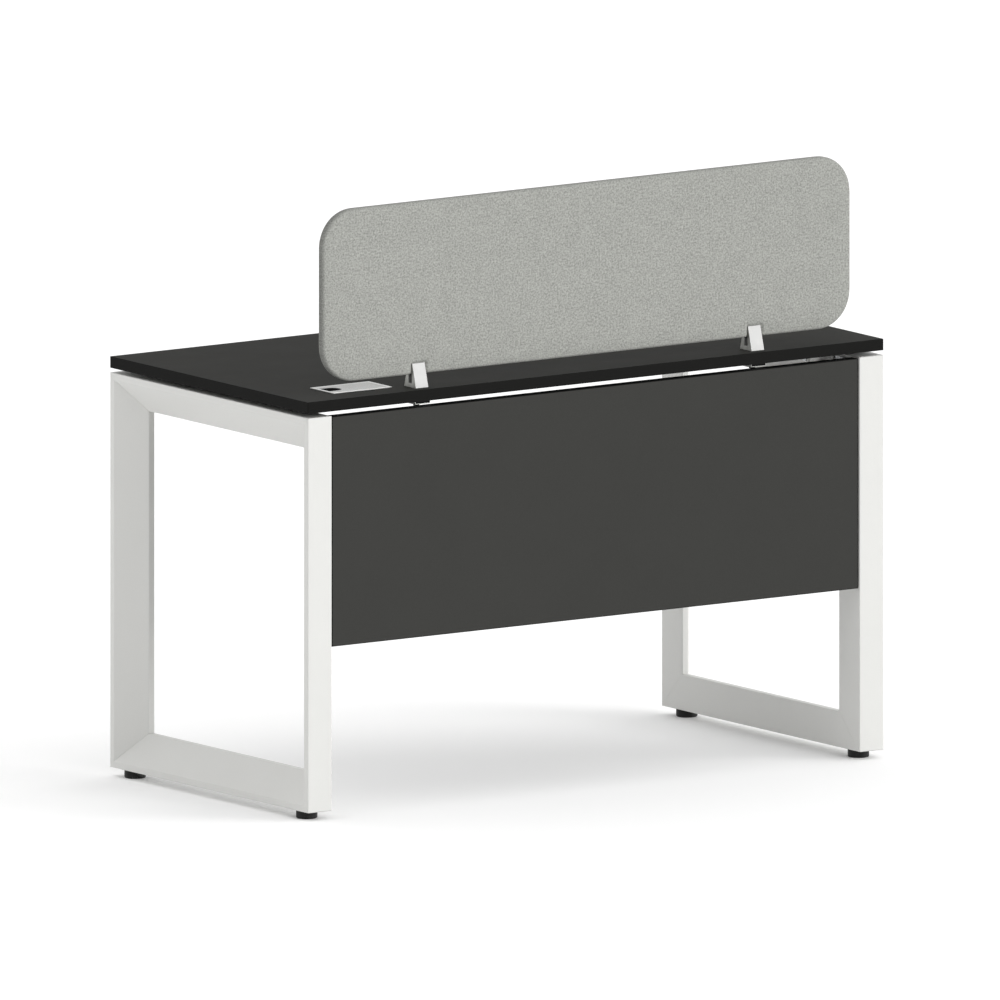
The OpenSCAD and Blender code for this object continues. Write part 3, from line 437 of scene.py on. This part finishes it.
boxAluminium = metalFinish("boxAluminium", {
    "colour": (205, 205, 203), "highlightColour": (236, 236, 235), "paintedEdgeHighlight": 0.7,
    "roughness": 0.34, "toneScale": 35.0, "toneAmount": 0.03, "stretch": (14.0, 900.0, 900.0),
    "streakTone": 0.30, "streakRough": 0.16, "edgeRadius": 0.0007, "bump": 0.30,
    "bumpDepth": 0.0001})

lidAluminium = metalFinish("lidAluminium", {
    "colour": (166, 166, 164), "highlightColour": (228, 228, 227), "paintedEdgeHighlight": 0.6,
    "roughness": 0.34, "toneScale": 35.0, "toneAmount": 0.04, "stretch": (10.0, 700.0, 700.0),
    "streakTone": 0.45, "streakRough": 0.16, "edgeRadius": 0.0005, "bump": 0.30,
    "bumpDepth": 0.0001})

zincPlate = metalFinish("zincPlate", {
    "colour": (176, 178, 180), "highlightColour": (206, 207, 208), "paintedEdgeHighlight": 0.5,
    "roughness": 0.38, "toneScale": 240.0, "toneAmount": 0.12, "stretch": (500.0, 500.0, 500.0),
    "streakTone": 0.16, "streakRough": 0.18, "edgeRadius": 0.0004, "bump": 0.15,
    "bumpDepth": 0.0001})

blackSteel = metalFinish("blackSteel", {
    "colour": (58, 58, 58), "highlightColour": (96, 96, 96), "paintedEdgeHighlight": 0.5,
    "roughness": 0.5, "toneScale": 240.0, "toneAmount": 0.12, "stretch": (500.0, 500.0, 500.0),
    "streakTone": 0.16, "streakRough": 0.18, "edgeRadius": 0.0004, "bump": 0.15,
    "bumpDepth": 0.0001})


# Core of the screen board, hidden under the fabric
chipboardLook = {
    "darkChip": (150, 112, 70), "lightChip": (198, 164, 118),
    "stretch": (1.0, 2.2, 1.0), "chipScale": 260.0,
    "roughness": 0.85, "specular": 0.1,
    "edgeRadius": 0.0005, "bump": 0.4, "bumpDepth": 0.0004,
}


def chipboardFinish():
    look = chipboardLook
    material, tree, shader, position = startMaterial("chipboardCore", look["roughness"],
                                                     look["specular"])
    chips = addNode(tree, "TexVoronoi", {"Vector": stretched(tree, position, look["stretch"]),
                                         "Scale": look["chipScale"]})
    shadeOfChip = addNode(tree, "SeparateColor", {0: chips.outputs["Color"]})
    colour = mixColours(tree, shadeOfChip.outputs[0], screenColour(*look["darkChip"]),
                        screenColour(*look["lightChip"]))
    fillInputs(tree, shader, {"Base Color": colour})
    edge = useGroup(tree, edgeGroup, {"Radius": look["edgeRadius"]})
    setBump(tree, shader, chips.outputs["Distance"], look["bump"], look["bumpDepth"],
            edge.outputs["Normal"])
    return material


chipboardCore = chipboardFinish()


# Screen fabric: plain weave of mixed light and dark yarn, with thicker places in the yarn
fabricLook = {
    "colour": (159, 160, 155),
    "roughness": 0.95, "specular": 0.1,
    "sheen": 0.12, "sheenRoughness": 0.5,
    "pitch": 0.00105,  # metres from yarn to yarn
    "crossing": 0.25,  # softness of the change from warp to weft
    "yarnTone": 0.26,
    "yarnRange": (0.25, 0.75),
    "yarnStep": 7.31, "warpStart": 3.7, "weftStart": 11.9,  # so no two yarns look alike
    "slubLength": 0.010,
    "slubs": {"scale": 1.0, "detail": 3.0, "roughness": 0.65},
    "flecks": {"scale": 300.0, "detail": 2.0, "roughness": 0.7}, "fleckTone": 0.31,
    "patches": {"scale": 26.0, "detail": 3.0}, "patchTone": 0.03,
    "rimPaintedShadeDepth": 0.38,  # how much painted shade darkens the rim
    "slubHeight": 0.35,
    "bump": 0.35, "bumpDepth": 0.0004,
}


def fabricFinish():
    look = fabricLook
    material, tree, shader, _ = startMaterial("screenFabric", look["roughness"],
                                              look["specular"])
    fillInputs(tree, shader, {"Sheen Weight": look["sheen"],
                              "Sheen Roughness": look["sheenRoughness"]})
    weave = addNode(tree, "UVMap", uv_map="weave").outputs[0]
    across = addNode(tree, "SeparateXYZ", {0: weave})

    def yarnRun(place):
        count = doMath(tree, "MULTIPLY", place, 1 / look["pitch"])
        wave = doMath(tree, "SINE", doMath(tree, "MULTIPLY", count, math.pi))
        return {"place": place, "count": count, "wave": wave}

    def yarnTone(own, other, start):
        number = doMath(tree, "MULTIPLY_ADD", doMath(tree, "FLOOR", own["count"]),
                        look["yarnStep"], start)
        run = doMath(tree, "MULTIPLY", other["place"], 1 / look["slubLength"])
        spot = addNode(tree, "CombineXYZ", {0: run, 1: number, 2: start})
        slubs = cloudy(tree, spot.outputs[0], **look["slubs"])
        return remap(tree, slubs, look["yarnRange"], (-1.0, 1.0))

    def varied(tone, noise, amount):
        return doMath(tree, "ADD", tone, remap(tree, noise, effects["cloudRange"],
                                               (-amount, amount)))

    warp, weft = yarnRun(across.outputs["X"]), yarnRun(across.outputs["Y"])
    over = remap(tree, doMath(tree, "MULTIPLY", warp["wave"], weft["wave"]),
                 (-look["crossing"], look["crossing"]), (0.0, 1.0))
    yarn = mixValues(tree, over, yarnTone(warp, weft, look["warpStart"]),
                     yarnTone(weft, warp, look["weftStart"]))
    tone = doMath(tree, "MULTIPLY_ADD", yarn, look["yarnTone"], 1.0)
    tone = varied(tone, cloudy(tree, weave, **look["flecks"]), look["fleckTone"])
    tone = varied(tone, cloudy(tree, weave, **look["patches"]), look["patchTone"])
    # painted shade: the rim of the cover is darkened towards the seam by its mesh attribute
    rim = addNode(tree, "Attribute", attribute_name="rimPaintedShade").outputs["Fac"]
    tone = doMath(tree, "MULTIPLY", tone,
                  doMath(tree, "MULTIPLY_ADD", rim, -look["rimPaintedShadeDepth"], 1.0))
    fillInputs(tree, shader, {
        "Base Color": scaled(tree, screenColour(*look["colour"])[:3], tone)})
    ridge = mixValues(tree, over, *(doMath(tree, "MULTIPLY", run["wave"], run["wave"])
                                    for run in (warp, weft)))
    height = doMath(tree, "MULTIPLY_ADD", yarn, look["slubHeight"], ridge)
    setBump(tree, shader, height, look["bump"], look["bumpDepth"])
    return material


screenFabric = fabricFinish()

nodesOfFinish = (
    (blackLaminate, ("worktop",)),
    (greyLaminate, ("modesty_panel",)),
    (blackEdging, ("worktop_edging", "modesty_panel_edging")),
    (chipboardCore, ("screen_board",)),
    (clampAluminium, ("left_clamp", "right_clamp", "left_clamp_plate", "right_clamp_plate")),
    (blackSteel, ("clamp_bolts",)),
    (linerRubber, ("clamp_liners", "clamp_pads")),
    (boxAluminium, ("cable_box_frame", "cable_box_lid")),
    (blackPlastic, ("notch_lining", "left_front_foot", "left_rear_foot", "right_front_foot",
                    "right_rear_foot")),
    (zincPlate, ("left_front_stem", "left_rear_stem", "right_front_stem", "right_rear_stem",
                 "beam_bolts", "worktop_screws", "bracket_bolts", "frame_nuts", "panel_screws",
                 "left_panel_brackets", "right_panel_brackets", "clamp_set_screws",
                 "hinge_pin", "foot_inserts")),
)
finishOfNode = {name: finish for finish, names in nodesOfFinish for name in names}
for name, node in nodes.items():
    for slotOfNode in node.material_slots:
        slotOfNode.material = finishOfNode.get(name, whitePaint)  # the rest is painted steel
print("finishes set")


# Screen cover: fabric drawn over a thin pad on each face, sewn together round the edge
coverSizes = {
    "length": 1.100, "height": 0.300, "thickness": 0.018,
    "corner": 0.065,
    "rim": 0.005,
    "rimSteps": 5,
    "seam": 0.0008,  # how far the sewn edge is drawn in
    "seamRows": ((0.0, 0.0022), (0.35, 0.0011), (1.0, 0.0)),  # share of that, depth left
    "swell": 0.0007,  # how far the pad rises on each face
    "middle": (0.0, 0.265, 0.903),
    "coarse": 0.0078, "fine": 0.002,  # mesh steps
    "fineReach": 0.022, "fineAbove": 0.0097,  # fine steps beside and above a clamp
    "clampPlaces": (-0.350, 0.350),
    "clampReach": 0.0136,  # half the width that a clamp squeezes
    "clampTop": -0.1307,
    "squeezed": 0.0042,  # half the thickness between the jaws
    "dentReach": 0.0050,  # how far round a clamp the pad is drawn in
}

padCloth = {
    "quality": 5,
    "stretchStiffness": 30, "bendStiffness": 2.0,
    "pressure": 4.0,
    "steps": 20,
}


def rimDirection(x, z):
    size = coverSizes
    overX = abs(x) - (size["length"] / 2 - size["corner"])
    overZ = abs(z) - (size["height"] / 2 - size["corner"])
    if overX > 0 and overZ > 0:
        return Vector((math.copysign(overX, x), 0, math.copysign(overZ, z))).normalized()
    if overZ <= 0:
        return Vector((math.copysign(1, x), 0, 0))
    return Vector((0, 0, math.copysign(1, z)))


def gradedPlaces(low, high, fineBands):
    marks = sorted([low, high] + [mark for band in fineBands for mark in band])
    places = [low]
    for start, end in zip(marks, marks[1:]):
        if end - start < hairline:
            continue
        middle = (start + end) / 2
        fine = any(band[0] < middle < band[1] for band in fineBands)
        steps = max(1, round((end - start) / coverSizes["fine" if fine else "coarse"]))
        places += [start + (end - start) * k / steps for k in range(1, steps + 1)]
    return places


def dentAt(x, z):
    size = coverSizes
    away = min(math.hypot(max(0.0, abs(x - place) - size["clampReach"]),
                          max(0.0, z - size["clampTop"])) for place in size["clampPlaces"])
    share = min(1.0, away / size["dentReach"])
    return 1 - share * share * (3 - 2 * share)  # eases out at both ends


def buildScreenCover():
    size = coverSizes
    half = size["thickness"] / 2 - size["swell"]
    faceX = size["length"] / 2 - size["rim"]
    faceZ = size["height"] / 2 - size["rim"]
    radius = size["corner"] - size["rim"]
    columns = gradedPlaces(-faceX, faceX, [(place - size["fineReach"], place + size["fineReach"])
                                           for place in size["clampPlaces"]])
    rows = gradedPlaces(-faceZ, faceZ, [(-faceZ, size["clampTop"] + size["fineAbove"])])
    bm = bmesh.new()
    bmesh.ops.create_grid(bm, x_segments=len(columns) - 1, y_segments=len(rows) - 1, size=0.5)
    bmesh.ops.rotate(bm, matrix=Matrix.Rotation(-math.pi / 2, 3, "X"), verts=bm.verts)
    # each point goes to its column and row, and the corners are drawn in to their radius
    for vert in bm.verts:
        x = columns[round((vert.co.x + 0.5) * (len(columns) - 1))]
        z = rows[round((vert.co.z + 0.5) * (len(rows) - 1))]
        vert.co.x, vert.co.z = x, z
        px, pz = abs(x) - (faceX - radius), abs(z) - (faceZ - radius)
        if px > 0 and pz > 0:
            pull = max(px, pz) / math.hypot(px, pz)
            vert.co.x = math.copysign(faceX - radius + px * pull, x)
            vert.co.z = math.copysign(faceZ - radius + pz * pull, z)
        vert.co.y = half
    bm.verts.layers.float.new("rimPaintedShade")
    # the edge is drawn out row by row, round a quarter turn and in to the seam
    turns = [math.radians(90 * k / size["rimSteps"]) for k in range(1, size["rimSteps"] + 1)]
    edgeRows = [(size["rim"] * math.sin(turn), half - size["rim"] * (1 - math.cos(turn)))
                for turn in turns]
    edgeRows += [(size["rim"] - size["seam"] * share, depth)
                 for share, depth in size["seamRows"]]
    edge = [e for e in bm.edges if e.is_boundary]
    before = 0.0
    for outward, depth in edgeRows:
        made = bmesh.ops.extrude_edge_only(bm, edges=edge)["geom"]
        edge = [g for g in made if isinstance(g, bmesh.types.BMEdge)]
        for vert in (g for g in made if isinstance(g, bmesh.types.BMVert)):
            vert.co += rimDirection(vert.co.x, vert.co.z) * (outward - before)
            vert.co.y = depth
        before = outward
    # the other face is a mirrored copy, joined along the seam
    copied = bmesh.ops.duplicate(bm, geom=bm.verts[:] + bm.edges[:] + bm.faces[:])["geom"]
    bmesh.ops.scale(bm, vec=(1, -1, 1),
                    verts=[g for g in copied if isinstance(g, bmesh.types.BMVert)])
    bmesh.ops.remove_doubles(bm, verts=bm.verts, dist=samePlace)
    bmesh.ops.recalc_face_normals(bm, faces=bm.faces)
    shadeLayer = bm.verts.layers.float["rimPaintedShade"]
    weaveLayer = bm.loops.layers.uv.new("weave")
    # painted shade on the rim: darkest at the seam, none on the flat face
    for vert in bm.verts:
        vert[shadeLayer] = min(1.0, (half - abs(vert.co.y)) / size["rim"])
    for face in bm.faces:
        face.smooth = True
        for loop in face.loops:
            place = loop.vert.co
            wrap = half - abs(place.y)
            around = rimDirection(place.x, place.z) * wrap if wrap > hairline else Vector()
            loop[weaveLayer].uv = (place.x + around.x, place.z + around.z)
    for vert in bm.verts:
        vert.co.y *= 1 - dentAt(vert.co.x, vert.co.z) * (1 - size["squeezed"] / half)
    bmesh.ops.translate(bm, vec=size["middle"], verts=bm.verts)
    return bm


def swellPad(cover):
    middle = coverSizes["middle"][1]
    half = coverSizes["thickness"] / 2 - coverSizes["swell"]
    held = cover.vertex_groups.new(name="held")
    sides = [v.index for v in cover.data.vertices if abs(v.co.y - middle) < half - samePlace]
    held.add(sides, 1.0, "REPLACE")
    cloth = cover.modifiers.new("padding", "CLOTH")
    cloth.settings.quality = padCloth["quality"]
    cloth.settings.tension_stiffness = padCloth["stretchStiffness"]
    cloth.settings.compression_stiffness = padCloth["stretchStiffness"]
    cloth.settings.bending_stiffness = padCloth["bendStiffness"]
    cloth.settings.use_pressure = True
    cloth.settings.uniform_pressure_force = padCloth["pressure"]
    cloth.settings.effector_weights.gravity = 0.0
    cloth.settings.vertex_group_mass = "held"
    cloth.point_cache.frame_start = 1
    cloth.point_cache.frame_end = padCloth["steps"]
    start = [v.co.copy() for v in cover.data.vertices]
    for step in range(1, padCloth["steps"] + 1):
        scene.frame_set(step)
    settled = cover.evaluated_get(bpy.context.evaluated_depsgraph_get()).data
    moved = [v.co.copy() for v in settled.vertices]
    scene.frame_set(1)
    cover.modifiers.remove(cloth)
    cover.vertex_groups.remove(held)
    for vert, old, new in zip(cover.data.vertices, start, moved):
        rise = new - old
        if rise.length > coverSizes["swell"]:
            rise *= coverSizes["swell"] / rise.length
        vert.co = old + rise


screenCover = makePiece("screenCover", buildScreenCover(), screenFabric)
swellPad(screenCover)
smoother = screenCover.modifiers.new("smoother", "SUBSURF")
smoother.levels = smoother.render_levels = 1
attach(screenCover, "desk")
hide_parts("screen_cover_fabric")
print("screen cover made")


# Worktop edging: one strip on each side, its outer corners eased
edgingSizes = {"length": 1.200, "width": 0.600, "bottom": 0.710, "top": 0.730,
               "thickness": 0.002, "easing": 0.0011, "easingSteps": 3}


def isSquareTo(face, axis):
    return abs(face.normal[axis]) > squareOn


def isSharp(edge):
    return edge.is_manifold and edge.calc_face_angle(0.0) > sharpAngle


def buildWorktopEdging():
    size = edgingSizes
    bm = bmesh.new()
    bmesh.ops.create_cube(bm, size=1.0)
    bmesh.ops.scale(bm, vec=(size["length"], size["width"], size["top"] - size["bottom"]),
                    verts=bm.verts)
    ends = [f for f in bm.faces if isSquareTo(f, 2)]
    bmesh.ops.inset_individual(bm, faces=ends, thickness=size["thickness"], use_even_offset=True)
    bmesh.ops.delete(bm, geom=ends, context="FACES")
    bmesh.ops.bridge_loops(bm, edges=[e for e in bm.edges if e.is_boundary])
    outside = {v for v in bm.verts if abs(abs(v.co.x) - size["length"] / 2) < hairline}
    easedEdges = [e for e in bm.edges if all(v in outside for v in e.verts)
                  and max(v.co.z for v in e.verts) > 0 and isSharp(e)]
    bmesh.ops.bevel(bm, geom=easedEdges, offset=size["easing"], segments=size["easingSteps"],
                    profile=0.5, affect="EDGES", material=-1)
    bmesh.ops.translate(bm, vec=(0, 0, (size["top"] + size["bottom"]) / 2), verts=bm.verts)
    bmesh.ops.recalc_face_normals(bm, faces=bm.faces)
    return bm


worktopEdging = makePiece("worktopEdging", buildWorktopEdging(), blackEdging, "desk")
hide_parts("worktop_edging")
print("edging made")


# Parts whose CAD shape is right get their sharp edges eased on a copy
easedSizes = {"clamp": 0.0011, "clampPlate": 0.0003, "boxFrame": 0.0004, "boxLid": 0.0003,
              "clampSteps": 3, "boxSteps": 2}


def easedCopyOf(nodeName, width, steps):
    bm = bmesh.new()
    bm.from_mesh(nodes[nodeName].data)
    bmesh.ops.remove_doubles(bm, verts=bm.verts, dist=samePlace)
    bmesh.ops.dissolve_limit(bm, angle_limit=flatAngle, verts=bm.verts, edges=bm.edges)
    bmesh.ops.bevel(bm, geom=[e for e in bm.edges if isSharp(e)], offset=width, segments=steps,
                    profile=0.5, affect="EDGES", clamp_overlap=True, material=-1)
    return bm


for side in ("left", "right"):
    for nodeEnd, pieceEnd, width, cutAxis in (
            ("_clamp", "ScreenClamp", easedSizes["clamp"], 0),
            ("_clamp_plate", "ClampPlate", easedSizes["clampPlate"], 1)):
        bm = easedCopyOf(side + nodeEnd, width, easedSizes["clampSteps"])
        for face in bm.faces:
            face.material_index = 1 if isSquareTo(face, cutAxis) else 0  # the sawn ends
        clamp = makePiece(side + pieceEnd, bm, clampAluminium, "desk")
        clamp.data.materials.append(cutAluminium)
        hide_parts(side + nodeEnd)

for nodeName, pieceName, finish, body, width in (
        ("cable_box_frame", "cableBoxFrame", boxAluminium, "desk", easedSizes["boxFrame"]),
        ("cable_box_lid", "cableBoxLid", lidAluminium, "cable_lid", easedSizes["boxLid"])):
    eased = makePiece(pieceName, easedCopyOf(nodeName, width, easedSizes["boxSteps"]), finish,
                      body)
    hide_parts(nodeName)
print("clamps and cable box eased")


# Threaded stems of the levelling feet, seen when a foot is screwed out
stemSizes = {
    "places": {"left_front": (-0.575, -0.260), "left_rear": (-0.575, 0.260),
               "right_front": (0.575, -0.260), "right_rear": (0.575, 0.260)},
    "bottom": 0.006, "top": 0.0465,
    "radius": 0.00397, "rootRadius": 0.00332,
    "pitch": 0.00125,
    "flank": 0.40, "crest": 0.12,  # shares of the pitch
    "stepsPerTurn": 24,
    "spareTurns": 2,  # cut off again at the ends
    "lead": 0.001,  # length of the tapered tip
}


def buildStem(x, y):
    size = stemSizes
    pitch = size["pitch"]
    turns = math.ceil((size["top"] - size["bottom"]) / pitch) + size["spareTurns"]
    bm = bmesh.new()
    profile = [(size["rootRadius"], 0.0), (size["radius"], size["flank"] * pitch),
               (size["radius"], (size["flank"] + size["crest"]) * pitch),
               (size["rootRadius"], (2 * size["flank"] + size["crest"]) * pitch),
               (size["rootRadius"], pitch)]
    verts = [bm.verts.new((radius, 0.0, size["bottom"] - pitch + up)) for radius, up in profile]
    edges = [bm.edges.new(pair) for pair in zip(verts, verts[1:])]
    bmesh.ops.spin(bm, geom=verts + edges, cent=(0, 0, 0), axis=(0, 0, 1),
                   dvec=(0, 0, pitch / size["stepsPerTurn"]), angle=2 * math.pi * turns,
                   steps=turns * size["stepsPerTurn"], use_merge=False)
    bmesh.ops.remove_doubles(bm, verts=bm.verts, dist=hairline)
    # the screw is cut off square and closed at both ends
    for height, outward in ((size["bottom"], -1), (size["top"], 1)):
        bmesh.ops.bisect_plane(bm, geom=bm.verts[:] + bm.edges[:] + bm.faces[:],
                               plane_co=(0, 0, height), plane_no=(0, 0, outward),
                               clear_outer=True)
        rim = [e for e in bm.edges if e.is_boundary
               and all(abs(v.co.z - height) < hairline for v in e.verts)]
        bmesh.ops.contextual_create(bm, geom=rim)
    for vert in bm.verts:
        widest = size["radius"] - max(0.0, vert.co.z - (size["top"] - size["lead"]))
        reach = math.hypot(vert.co.x, vert.co.y)
        if reach > widest:
            vert.co.x *= widest / reach
            vert.co.y *= widest / reach
    bmesh.ops.translate(bm, vec=(x, y, 0), verts=bm.verts)
    bmesh.ops.recalc_face_normals(bm, faces=bm.faces)
    return bm


for corner, (x, y) in stemSizes["places"].items():
    side, end = corner.split("_")
    stem = makePiece(side + end.title() + "ThreadedStem", buildStem(x, y), zincPlate,
                     corner + "_leveller")
    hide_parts(corner + "_stem")
print("threaded stems made")
